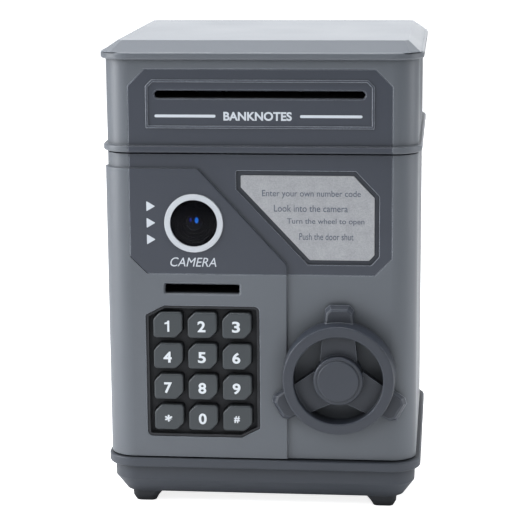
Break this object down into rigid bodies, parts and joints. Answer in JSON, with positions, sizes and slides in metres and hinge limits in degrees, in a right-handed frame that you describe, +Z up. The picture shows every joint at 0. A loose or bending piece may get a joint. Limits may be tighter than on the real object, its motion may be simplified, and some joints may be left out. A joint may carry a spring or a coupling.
{
  "type": "toy cash machine savings bank",
  "caption": "Upright toy savings bank shaped like a cash machine, with a swinging keypad door, a latching handwheel, a camera window, a banknote slot and a coin slot.",
  "frame": {"origin": "on the ground under the middle of the bounding box", "axes": "+Z up, +X to the right of someone facing the door, the door faces -Y"},
  "size_m": [0.1318, 0.1316, 0.195],
  "materials": {
    "shell_grey": "fine-textured moulded ABS",
    "dark_plastic": "fine-textured moulded ABS",
    "base_plastic": "fine-textured moulded ABS",
    "foot_rubber": "moulded rubber",
    "key_plastic": "satin keycaps with printed digits",
    "black_plastic": "moulded black plastic",
    "liner_plastic": "plain moulded ABS",
    "silver_plate": "fine-grained silver print face",
    "white_plastic": "smooth white",
    "lens_black": "polished black window",
    "silicone": "moulded silicone",
    "circuit_board": "solder-masked board",
    "steel": "drawn and turned steel",
    "plated_steel": "zinc-plated sheet",
    "gear_plastic": "natural acetal",
    "roller_rubber": "soft rubber",
    "cell_wrap": "plain shrink wrap"
  },
  "bodies": {
    "housing": {"cabinet": "shell_grey", "lid": "shell_grey", "upper_front": "shell_grey", "upper_inlay": "dark_plastic", "side_inlays_upper": "dark_plastic", "side_inlays_lower": "dark_plastic", "base_tub": "base_plastic", "base_deck": "liner_plastic", "feet": "foot_rubber", "battery_cover": "base_plastic", "battery_cells": "cell_wrap", "battery_contacts": "plated_steel", "speaker": "black_plastic", "base_screws": "steel", "note_shelf": "liner_plastic", "note_guides": "black_plastic", "feeder_brackets": "liner_plastic", "feed_motor": "plated_steel", "main_board": "circuit_board", "strike_plate": "steel"},
    "door": {"door_shell": "shell_grey", "door_inlay": "dark_plastic", "info_plate": "silver_plate", "lens_ring": "white_plastic", "lens_window": "lens_black", "camera_module": "black_plastic", "keypad_tray": "black_plastic", "key_mat": "silicone", "key_board": "circuit_board", "door_liner": "liner_plastic", "coin_chute": "black_plastic", "hinge_pins": "steel", "shaft_bush": "gear_plastic", "lock_solenoid": "plated_steel"},
    "wheel": {"handwheel": "dark_plastic", "hub_cap": "dark_plastic", "wheel_shaft": "steel", "lock_disc": "gear_plastic", "latch_arm": "gear_plastic"},
    "plunger": {"solenoid_plunger": "steel"},
    "drive_roller": {"drive_axle": "steel", "drive_rollers": "roller_rubber", "drive_gear": "gear_plastic"},
    "pinch_roller": {"pinch_axle": "steel", "pinch_rollers": "roller_rubber"},
    "motor_rotor": {"motor_shaft": "steel", "motor_pinion": "gear_plastic"},
    "button_1": {"key_1": "key_plastic"},
    "button_2": {"key_2": "key_plastic"},
    "button_3": {"key_3": "key_plastic"},
    "button_4": {"key_4": "key_plastic"},
    "button_5": {"key_5": "key_plastic"},
    "button_6": {"key_6": "key_plastic"},
    "button_7": {"key_7": "key_plastic"},
    "button_8": {"key_8": "key_plastic"},
    "button_9": {"key_9": "key_plastic"},
    "button_star": {"key_star": "key_plastic"},
    "button_0": {"key_0": "key_plastic"},
    "button_hash": {"key_hash": "key_plastic"}
  },
  "joints": [
    {"name": "door_swing", "type": "hinge", "parent": "housing", "child": "door", "pos_m": [-0.0615, -0.04215, 0.0221], "axis": [0, 0, -1], "range_deg": [0, 100]},
    {"name": "wheel_turn", "type": "hinge", "parent": "door", "child": "wheel", "pos_m": [0.0324, -0.05415, 0.0586], "axis": [0, -1, 0], "range_deg": [0, 90]},
    {"name": "plunger_slide", "type": "slide", "parent": "door", "child": "plunger", "axis": [0, 0, -1], "range_m": [0, 0.0024], "stiffness_N_per_m": 100, "springref_m": -0.001},
    {"name": "drive_spin", "type": "hinge", "parent": "housing", "child": "drive_roller", "pos_m": [0, -0.03415, 0.17005], "axis": [1, 0, 0], "continuous": true},
    {"name": "pinch_spin", "type": "hinge", "parent": "housing", "child": "pinch_roller", "pos_m": [0, -0.03415, 0.17835], "axis": [1, 0, 0], "continuous": true},
    {"name": "motor_spin", "type": "hinge", "parent": "housing", "child": "motor_rotor", "pos_m": [0, -0.02391, 0.16632], "axis": [1, 0, 0], "continuous": true},
    {"name": "press_1", "type": "slide", "parent": "door", "child": "button_1", "axis": [0, 1, 0], "range_m": [0, 0.0012], "stiffness_N_per_m": 400, "springref_m": -0.0005},
    {"name": "press_2", "type": "slide", "parent": "door", "child": "button_2", "axis": [0, 1, 0], "range_m": [0, 0.0012], "stiffness_N_per_m": 400, "springref_m": -0.0005},
    {"name": "press_3", "type": "slide", "parent": "door", "child": "button_3", "axis": [0, 1, 0], "range_m": [0, 0.0012], "stiffness_N_per_m": 400, "springref_m": -0.0005},
    {"name": "press_4", "type": "slide", "parent": "door", "child": "button_4", "axis": [0, 1, 0], "range_m": [0, 0.0012], "stiffness_N_per_m": 400, "springref_m": -0.0005},
    {"name": "press_5", "type": "slide", "parent": "door", "child": "button_5", "axis": [0, 1, 0], "range_m": [0, 0.0012], "stiffness_N_per_m": 400, "springref_m": -0.0005},
    {"name": "press_6", "type": "slide", "parent": "door", "child": "button_6", "axis": [0, 1, 0], "range_m": [0, 0.0012], "stiffness_N_per_m": 400, "springref_m": -0.0005},
    {"name": "press_7", "type": "slide", "parent": "door", "child": "button_7", "axis": [0, 1, 0], "range_m": [0, 0.0012], "stiffness_N_per_m": 400, "springref_m": -0.0005},
    {"name": "press_8", "type": "slide", "parent": "door", "child": "button_8", "axis": [0, 1, 0], "range_m": [0, 0.0012], "stiffness_N_per_m": 400, "springref_m": -0.0005},
    {"name": "press_9", "type": "slide", "parent": "door", "child": "button_9", "axis": [0, 1, 0], "range_m": [0, 0.0012], "stiffness_N_per_m": 400, "springref_m": -0.0005},
    {"name": "press_star", "type": "slide", "parent": "door", "child": "button_star", "axis": [0, 1, 0], "range_m": [0, 0.0012], "stiffness_N_per_m": 400, "springref_m": -0.0005},
    {"name": "press_0", "type": "slide", "parent": "door", "child": "button_0", "axis": [0, 1, 0], "range_m": [0, 0.0012], "stiffness_N_per_m": 400, "springref_m": -0.0005},
    {"name": "press_hash", "type": "slide", "parent": "door", "child": "button_hash", "axis": [0, 1, 0], "range_m": [0, 0.0012], "stiffness_N_per_m": 400, "springref_m": -0.0005}
  ],
  "couplings": [
    {"joint": "pinch_spin", "follows": "drive_spin", "ratio": -1},
    {"joint": "motor_spin", "follows": "drive_spin", "ratio": -2}
  ]
}
